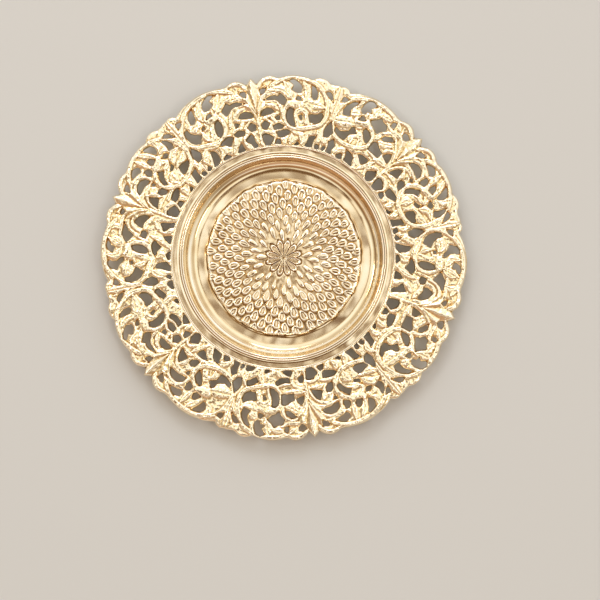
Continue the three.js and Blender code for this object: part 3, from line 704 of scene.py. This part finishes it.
for index, halves in enumerate(CASTINGS):
    tip = math.radians(FIRST_TIP + SECTION_TURN * index)
    right, left = halves.split()
    draw_half(right, tip, 1)
    draw_half(left, tip, -1)
    draw("band", *STEM_BAND, STEM, tip, 1)
    for width, points in LOBE_LEAVES:
        draw("leaf", width, LOBE_RISE, points, joint_angles[index], 1)
print(len(strokes), "strokes on the border")

# %% [markdown]
# ## Raising the relief
#
# For each vertex of a blank, three things set its height. Its distance from the nearest
# opening rounds the bars off like thick wire. The strokes over it add scrolls and
# leaves, and where they cross, the higher one shows. Small soft dents stand for the skin
# of the casting and the marks of punch and file.

# %% Distance to the openings
EDGE_SLICE = math.radians(4)
FAR = 9.0                   # stands for the distance where no edge is near


def to_segments(xy, starts, steps):
    """For each point and segment: the distance, and the share of the segment passed there."""
    rel = xy[:, None] - starts[None]
    share = np.clip((rel * steps).sum(2) / np.maximum((steps ** 2).sum(1), 1e-9), 0, 1)
    off = rel - share[..., None] * steps
    return np.sqrt((off ** 2).sum(2)), share


def turned(angle, centre):
    """The angle from centre, between minus and plus half a turn."""
    return (angle - centre + math.pi) % math.tau - math.pi


def edge_distance(xy):
    """Distance from each point to the nearest edge that shows, worked out a slice at a time."""
    angle = np.arctan2(xy[:, 1], xy[:, 0])
    mid = (edge_starts + edge_ends) / 2
    edge_angle = np.arctan2(mid[:, 1], mid[:, 0])
    distance = np.full(len(xy), FAR)
    for centre in np.arange(0, math.tau, EDGE_SLICE):
        here = abs(turned(angle, centre)) <= EDGE_SLICE / 2
        near = abs(turned(edge_angle, centre)) < EDGE_SLICE * 1.6
        if here.any() and near.any():
            steps = edge_ends[near] - edge_starts[near]
            distance[here] = to_segments(xy[here], edge_starts[near], steps)[0].min(1)
    return distance


# %% Height of a stroke
VEIN_PITCH = 4.2            # vein to vein along the midrib
VEIN_SLANT = 1.1            # how far a vein runs on along the leaf for each mm outwards
VEIN_DEPTH = 0.09           # veins of a leaf, as a share of its rise
RIB = (0.35, 0.18)          # depth and width of a leaf's midrib
GROOVE = (0.22, 0.25)       # and of the groove along a band


def beside_line(line, xy):
    """For each point: how far it lies from the line, how far along, and the line's length."""
    steps = np.diff(line, axis=0)
    length = np.hypot(*steps.T)
    distance, share = to_segments(xy, line[:-1], steps)
    best = distance.argmin(1)
    rows = np.arange(len(xy))
    run = np.concatenate([[0], np.cumsum(length)])
    return distance[rows, best], run[best] + share[rows, best] * length[best], run[-1]


def stroke_height(stroke, xy):
    """Height that a stroke gives each point, and 0 outside it."""
    distance, run, total = beside_line(stroke["line"], xy)
    if stroke["kind"] == "boss":
        return stroke["rise"] * np.sqrt(np.clip(1 - (distance / stroke["half"]) ** 2, 0, 1))
    if stroke["kind"] == "band":
        ends = np.clip(np.minimum(run, total - run) / 3 + 0.4, 0, 1)
        t = distance / (stroke["half"] * ends)
        body = np.sqrt(np.clip(1 - t ** 2, 0, 1))
        return stroke["rise"] * (body - GROOVE[0] * hump(t, 0, GROOVE[1])) * (t < 1)
    share = np.clip(run / total, 0.02, 0.98)
    if stroke["kind"] == "lobe":
        t = distance / (stroke["half"] * np.sin(math.pi * share ** 1.3) ** 0.6)
        return stroke["rise"] * np.clip(1 - t, 0, 1) ** 0.8
    t = distance / (stroke["half"] * np.sin(math.pi * share ** 0.8) ** 0.6)
    body = np.clip(1 - t ** 2, 0, 1) ** 0.6
    slanted = run - VEIN_SLANT * distance
    veins = VEIN_DEPTH * np.cos(math.tau * slanted / VEIN_PITCH) * (t > 0.2)
    rib = RIB[0] * hump(t, 0, RIB[1])
    return stroke["rise"] * body * (1 + veins - rib) * (t < 1)


def strokes_height(xy):
    """The highest stroke over each point."""
    height = np.zeros(len(xy))
    low, high = xy.min(0), xy.max(0)
    for stroke in strokes:
        line, reach = stroke["line"], stroke["half"]
        first, last = line.min(0) - reach, line.max(0) + reach
        if (last < low).any() or (first > high).any():
            continue
        here = np.flatnonzero(((xy > first) & (xy < last)).all(1))
        if len(here):
            height[here] = np.maximum(height[here], stroke_height(stroke, xy[here]))
    return height


# %% Height of the whole relief
ROUND_REACH = 2.3           # how far in from an edge a bar is rounded
ROUND_DROP = 1.35           # how far its edge lies below the top of the plate
BAR_RISE = 0.4              # middle of a bar above the top of the plate
CRINKLE_SIZE = 2.7          # width of a dent left by the chasing punch
CRINKLE_DEPTH = 0.32


def crinkle(xy):
    """Small soft dents, the same on each run."""
    size = CRINKLE_SIZE
    return np.array([
        noise.noise(Vector((x / size, y / size, 0.7)))
        + 0.4 * noise.noise(Vector((x / size * 2.1, y / size * 2.1, 5.1)))
        for x, y in xy
    ])


def relief(xy):
    """Height of the upper face over the plate, and how far the edges are rounded off."""
    inwards = np.clip(edge_distance(xy) / ROUND_REACH, 0, 1)
    rounded = np.sqrt(1 - (1 - inwards) ** 2)
    height = (ROUND_DROP + BAR_RISE) * rounded - ROUND_DROP
    height += strokes_height(xy) * np.clip(inwards * 2, 0, 1)
    return height + CRINKLE_DEPTH * crinkle(xy), 1 - rounded


# %% The castings, raised
SEAM_REACH = 1.4            # the end of a section is drawn out over this width
SEAM_HALF = 0.15            # half the gap between two sections
SEAM_PULL = 0.14            # how far their ends are drawn into it
FLANGE_LINE = 0.24          # width of the line of solder round the flange
FLANGE_REACH = 1.4          # the openwork's inner edge is drawn in over this width
CREST_GAP = 0.06            # the relief stays this far below the solid's highest crest
UNDER_ROUND = 0.8           # rounding of the lower edges, as a share of the upper ones'
CAST_ROUNDS = 6             # rings of neighbours and depth for the polish and the painted shading, as on the dish
CAST_DEPTH = 0.35


def close_seams(co):
    """Draws the ends of a section out to the joint's own line, as solder fills it."""
    for a in joint_angles:
        off, ahead = off_joint(co, a)
        pull = np.clip(1 - (abs(off) - SEAM_HALF) / SEAM_REACH, 0, 1) * ahead * SEAM_PULL
        pull = np.where(abs(off) < SEAM_REACH, pull, 0)
        co[:, 0] -= -math.sin(a) * np.sign(off) * pull
        co[:, 1] -= math.cos(a) * np.sign(off) * pull
    return co


def meet_flange(co):
    """Draws the openwork's inner edge in to the flange, as solder fills the line."""
    radius = np.hypot(co[:, 0], co[:, 1])
    pull = FLANGE_LINE * np.clip((STRAP_TURN + FLANGE_REACH - radius) / 1.3, 0, 1)
    pull = np.where(radius > STRAP_TURN, pull, 0)
    co[:, :2] *= (1 - pull / radius)[:, None]
    return co


def raise_casting(mesh):
    """Moves each vertex of a blank up or down with the relief, from the underside up."""
    co = meet_flange(close_seams(places(mesh)))
    radius = np.hypot(co[:, 0], co[:, 1])
    height, rounding = relief(co[:, :2])
    open_air = np.clip((radius - STRAP_TURN) / 1.0, 0, 1)
    share = np.clip((co[:, 2] - plate_bottom) / PLATE_THICK, 0, 1)
    highest = crest_top - plate_top - CREST_GAP
    height = np.minimum(height, highest) * open_air
    co[:, 2] += share * height + (1 - share) * UNDER_ROUND * rounding * open_air
    mesh.vertices.foreach_set("co", co.ravel())


castings = []
for node in casting_nodes:
    raise_casting(blanks[node])
    casting_bm = bmesh.new()
    casting_bm.from_mesh(blanks[node])
    casting = finished(casting_bm, node.replace("border", "chased"))
    mark_polish_and_painted_shading(casting, CAST_ROUNDS, CAST_DEPTH)
    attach(casting, "root")
    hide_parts(node)
    castings.append(casting)
    triangles = sum(len(p.vertices) - 2 for p in casting.data.polygons)
    print(casting.name, triangles, "triangles")

# %% [markdown]
# ## Materials
#
# Both finishes are the same plating: a pale champagne gold over brass. What differs
# is the surface under it. One small function adds a node with its settings and inputs,
# and one turns sRGB colours, as they are seen on a screen, into the linear values that
# the shader needs.

# %% Helpers for materials
def linear(code):
    """An sRGB hex colour as linear RGBA."""
    parts = [int(code[i:i + 2], 16) / 255 for i in (1, 3, 5)]
    return [c / 12.92 if c <= 0.04045 else ((c + 0.055) / 1.055) ** 2.4 for c in parts] + [1]


def add(tree, kind, inputs, stops=(), **settings):
    """Adds a node: an input is a socket or a value, stops are a ramp's places and colours."""
    node = tree.nodes.new("ShaderNode" + kind)
    for key, value in settings.items():
        setattr(node, key, value)
    for name, value in inputs.items():
        if isinstance(value, bpy.types.NodeSocket):
            tree.links.new(value, node.inputs[name])
        else:
            node.inputs[name].default_value = value
    if stops:
        marks = node.color_ramp.elements
        marks[1].position = stops[-1][0]
        marks[0].position = stops[0][0]
        for place, _ in stops[1:-1]:
            marks.new(place)
        for mark, (_, code) in zip(marks, stops):
            mark.color = linear(code)
    return node


def blank_material(name):
    """A new material and its node tree, which is still empty."""
    material = bpy.data.materials.new(name)
    material.use_nodes = True
    material.node_tree.nodes.clear()
    return material, material.node_tree


# %% [markdown]
# Gold plate is buffed on a wheel, which reaches the ridges and leaves the hollows dull.
# The colour adds painted shade and light to that: dark brown in the hollows and nearly
# white on the ridges, and the eye reads that contrast as depth. So the polish attribute
# drives both colour and roughness. Patches 22 mm wide shift it a little, as an uneven hand
# on the wheel does, and a fine grain breaks up the reflections.

# %% Plate over brass
PATCH_MM = 22
PATCH_SHIFT = 0.12          # how far a patch shifts the polish up or down
GLOSS_FROM, GLOSS_FULL = 0.25, 0.75         # the gloss grows between these, with the polish
GRAIN_DEPTH_MM = 0.2


def plated_metal(name, stops, rough_low, rough_high, grain_mm, grain_strength):
    """Pale gold plate whose gloss follows how well the wheel reached it, and whose colour paints
    shade in the hollows and a highlight on the ridges.
    """
    material, tree = blank_material(name)
    polish_and_painted_shading = add(tree, "Attribute", {}, attribute_name="polish_and_painted_shading").outputs["Fac"]
    where = add(tree, "TexCoord", {}).outputs["Object"]
    patches = add(tree, "TexNoise", {
        "Vector": where, "Scale": 1 / (PATCH_MM * MM), "Detail": 3}).outputs["Fac"]
    shift = add(tree, "MapRange", {
        "Value": patches, "To Min": -PATCH_SHIFT, "To Max": PATCH_SHIFT}).outputs["Result"]
    gloss_and_painted_shading = add(tree, "Math", {0: polish_and_painted_shading, 1: shift}, operation="ADD",
                  use_clamp=True).outputs[0]
    # painted shade in the hollows, dark brown, and a painted highlight on the ridges, nearly white
    colour = add(tree, "ValToRGB", {"Fac": gloss_and_painted_shading}, stops).outputs["Color"]
    rough = add(tree, "MapRange", {
        "Value": gloss_and_painted_shading, "From Min": GLOSS_FROM, "From Max": GLOSS_FULL,
        "To Min": rough_high, "To Max": rough_low}).outputs["Result"]
    grain = add(tree, "TexNoise", {
        "Vector": where, "Detail": 2, "Scale": 1 / (grain_mm * MM)}).outputs["Fac"]
    bump = add(tree, "Bump", {
        "Height": grain, "Strength": grain_strength,
        "Distance": GRAIN_DEPTH_MM * MM}).outputs["Normal"]
    shader = add(tree, "BsdfPrincipled", {
        "Base Color": colour, "Roughness": rough, "Normal": bump, "Metallic": 1.0})
    add(tree, "OutputMaterial", {"Surface": shader.outputs[0]})
    return material


# %% [markdown]
# Plated cast brass, chased and buffed. Its ridges get a nearly white painted highlight and
# its hollows a brown painted shade, and the skin of a sand casting, about 0.9 mm from grain
# to grain, keeps its reflections soft.

# %% Finish of the castings
cast_plate = plated_metal(
    "gold_plated_cast_brass",
    # from painted shade, brown, in the hollows to a painted highlight, nearly white, on the ridges
    [(0.06, "#92622C"), (0.22, "#E1BB7D"), (0.38, "#FAE0AB"), (0.62, "#FFF0D1")],
    rough_low=0.10, rough_high=0.26, grain_mm=0.9, grain_strength=0.08)
for casting in castings:
    casting.data.materials.append(cast_plate)
print("castings:", cast_plate.name)

# %% [markdown]
# Plated spun brass: rolled sheet is smoother than a casting, so it is glossier and nearly
# free of grain, and mirrors the room almost sharply. Its hollows get a browner painted
# shade, because the ground between the petals is deep and narrow, and its ridges and wall
# a nearly white painted highlight.

# %% Finish of the dish
spun_plate = plated_metal(
    "gold_plated_spun_brass",
    # from painted shade, dark brown, in the hollows to a painted highlight, nearly white, on the
    # ridges and the wall
    [(0.08, "#6C4824"), (0.3, "#BD955E"), (0.46, "#EED9B2"), (0.64, "#FFF5E0"),
     (0.9, "#FFF2DA")],
    rough_low=0.05, rough_high=0.16, grain_mm=1.6, grain_strength=0.02)
dish.data.materials.append(spun_plate)
print("dish:", spun_plate.name)

# %% [markdown]
# ## The floor and the light
#
# Polished metal shows little but its surroundings, so the room matters as much as the
# metal. The floor is plain and pale, and matt, so that it shows the platter's shadow
# and no reflection.

# %% Floor
FLOOR_HALF = 6.0
FLOOR_GAP = 0.0001          # so that the floor and the foot ring don't lie in one plane
floor_bm = bmesh.new()
bmesh.ops.create_grid(floor_bm, x_segments=1, y_segments=1, size=FLOOR_HALF,
                      matrix=Matrix.Translation((0, 0, -FLOOR_GAP)))
floor_mesh = bpy.data.meshes.new("pale_floor")
floor_bm.to_mesh(floor_mesh)
floor_bm.free()
floor = in_scene("pale_floor", floor_mesh)

paint, paint_tree = blank_material("matt_floor_paint")
paint_shader = add(paint_tree, "BsdfPrincipled", {
    "Base Color": linear("#CFCCC6"), "Roughness": 0.8})
add(paint_tree, "OutputMaterial", {"Surface": paint_shader.outputs[0]})
floor_mesh.materials.append(paint)
print(f"floor: {2 * FLOOR_HALF:.0f} m square, {paint.name}")

# %% [markdown]
# The room is painted on the world's background, which gives a colour for each
# direction. How far a direction turns towards the windows, past the pattern's top,
# picks the colour of the wall there: white at the windows, brown on the other side.

# %% Walls of the room
WINDOW_SIDE = (0.42, 0.91, 0)       # the windows lie this way
WALL_ENDS = 0.9             # past this, towards them or away, the wall keeps one colour

world = bpy.data.worlds.new("soft_room")
bpy.context.scene.world = world
world.use_nodes = True
room = world.node_tree
room.nodes.clear()
direction = add(room, "TexCoord", {}).outputs["Generated"]
axes = add(room, "SeparateXYZ", {"Vector": direction}).outputs

to_windows = add(room, "VectorMath", {0: direction, 1: WINDOW_SIDE},
                 operation="DOT_PRODUCT").outputs["Value"]
sideways = add(room, "MapRange", {
    "Value": to_windows, "From Min": -WALL_ENDS, "From Max": WALL_ENDS}).outputs["Result"]
walls = add(room, "ValToRGB", {"Fac": sideways}, [
    (0.0, "#BA967D"), (0.27, "#92806B"), (0.5, "#D3CBBB"), (0.73, "#ECEEF0"),
    (0.9, "#FAFCFF"), (1.0, "#F5F9FF")]).outputs["Color"]
print("walls:", len(room.nodes), "nodes")

# %% [markdown]
# Faces that look straight up mirror the ceiling. It is bright, apart from one dark, warm
# spot, which gives the flat metal its tan tones, and which grows wide towards the front.
# Close to the vertical, a direction's X and Y are small and act as places on the
# ceiling, so the distance from the spot's middle picks the colour.

# %% Ceiling of the room
SPOT_X, SPOT_Y = -0.082, 0.05       # direction of the dark spot's middle
SPOT_SQUEEZE = 0.6          # its width, as a share of its length along Y
FRONT_FROM, FRONT_FULL = 0.02, -0.13        # the dark widens between these, along Y
FRONT_REACH = 0.22          # and reaches this far to both sides

from_spot = add(room, "Mapping", {
    "Vector": direction, "Location": (-SPOT_X, -SPOT_Y * SPOT_SQUEEZE, 0),
    "Scale": (1, SPOT_SQUEEZE, 0)}).outputs["Vector"]
from_spot = add(room, "VectorMath", {0: from_spot}, operation="LENGTH").outputs["Value"]
front = add(room, "MapRange", {
    "Value": axes["Y"], "From Min": FRONT_FULL, "From Max": FRONT_FROM,
    "To Min": FRONT_REACH, "To Max": 0}).outputs["Result"]
from_dark = add(room, "Math", {0: from_spot, 1: front}, operation="SUBTRACT").outputs[0]
ceiling = add(room, "ValToRGB", {"Fac": from_dark}, [
    (0.0, "#6A4E32"), (0.018, "#8A6E4D"), (0.04, "#F0E9DC"), (0.056, "#FFFFFF"),
    (0.32, "#FFFEFA"), (0.5, "#C6B8A2")]).outputs["Color"]
print("walls and ceiling:", len(room.nodes), "nodes")

# %% [markdown]
# The walls blend into the ceiling, and a pale band lies along the foot of the walls, so
# that low views mirror something as light as the floor.

# %% The room, put together
ROOM_STRENGTH = 1.27
CEILING_FROM, CEILING_FULL = 0.80, 0.93     # the ceiling takes over between these heights
BAND_FULL, BAND_END = 0.10, 0.20            # and the pale band ends between these

overhead = add(room, "MapRange", {
    "Value": axes["Z"], "From Min": CEILING_FROM, "From Max": CEILING_FULL}).outputs["Result"]
upper_room = add(room, "MixRGB", {
    "Fac": overhead, "Color1": walls, "Color2": ceiling}).outputs["Color"]
over_band = add(room, "MapRange", {
    "Value": axes["Z"], "From Min": BAND_FULL, "From Max": BAND_END}).outputs["Result"]
room_colour = add(room, "MixRGB", {
    "Fac": over_band, "Color1": linear("#E6E3DD"), "Color2": upper_room}).outputs["Color"]
background = add(room, "Background", {"Color": room_colour, "Strength": ROOM_STRENGTH})
add(room, "OutputWorld", {"Surface": background.outputs[0]})
print(f"room: {len(room.nodes)} nodes, strength {ROOM_STRENGTH}")

# %% [markdown]
# Three soft lamps add the small white glints on ridges and leaves. The largest stands
# at the windows and is a little blue, as daylight is beside the warm room.

# %% Lamps
def soft_lamp(name, place, size, radiance, colour):
    """A square lamp that faces the platter, as bright per area as its radiance says."""
    lamp = bpy.data.lights.new(name, "AREA")
    lamp.size = size
    lamp.energy = radiance * math.pi * size ** 2
    lamp.color = linear(colour)[:3]
    holder = in_scene(name, lamp)
    holder.location = place
    holder.rotation_euler = (-Vector(place)).to_track_quat("-Z", "Y").to_euler()
    print(f"{name}: {lamp.energy:.1f} W from {Vector(place).length:.1f} m away")


soft_lamp("window_lamp", (-0.1, 1.25, 1.3), 0.6, 4.5, "#F2F7FF")
soft_lamp("left_lamp", (-0.95, 0.3, 1.5), 0.26, 8, "#FFFAF0")
soft_lamp("right_lamp", (0.8, -0.35, 1.5), 0.26, 8, "#FFFAF0")

# %% [markdown]
# ## The camera
#
# The photograph looks nearly straight at the platter's face, from a little to the right
# of its axis and a little below it, and the platter sits left of and above the middle
# of the picture. A long lens from far away keeps the rim as round as it shows there.

# %% Camera
VIEW_WIDTH = 0.500          # what the picture's width covers at the platter, in metres
LENS = 135
SENSOR = 36
LOOK_AT = Vector((0.0144, -0.0356, 0.012))
LEAN_X = math.radians(4.0)
LEAN_Y = math.radians(-2.0)

camera = in_scene("camera", bpy.data.cameras.new("camera"))
camera.data.lens = LENS
camera.data.sensor_width = SENSOR
back = Vector((math.tan(LEAN_X), math.tan(LEAN_Y), 1)).normalized()
right_way = Vector((0, 1, 0)).cross(back).normalized()
up_way = back.cross(right_way)
camera.matrix_world = Matrix.Translation(LOOK_AT + back * VIEW_WIDTH * LENS / SENSOR) @ Matrix(
    (right_way, up_way, back)).transposed().to_4x4()
bpy.context.scene.camera = camera
bpy.context.scene.view_settings.view_transform = "Standard"
print(f"camera: {camera.location.length:.2f} m away, {VIEW_WIDTH / MM:.0f} mm across its view")
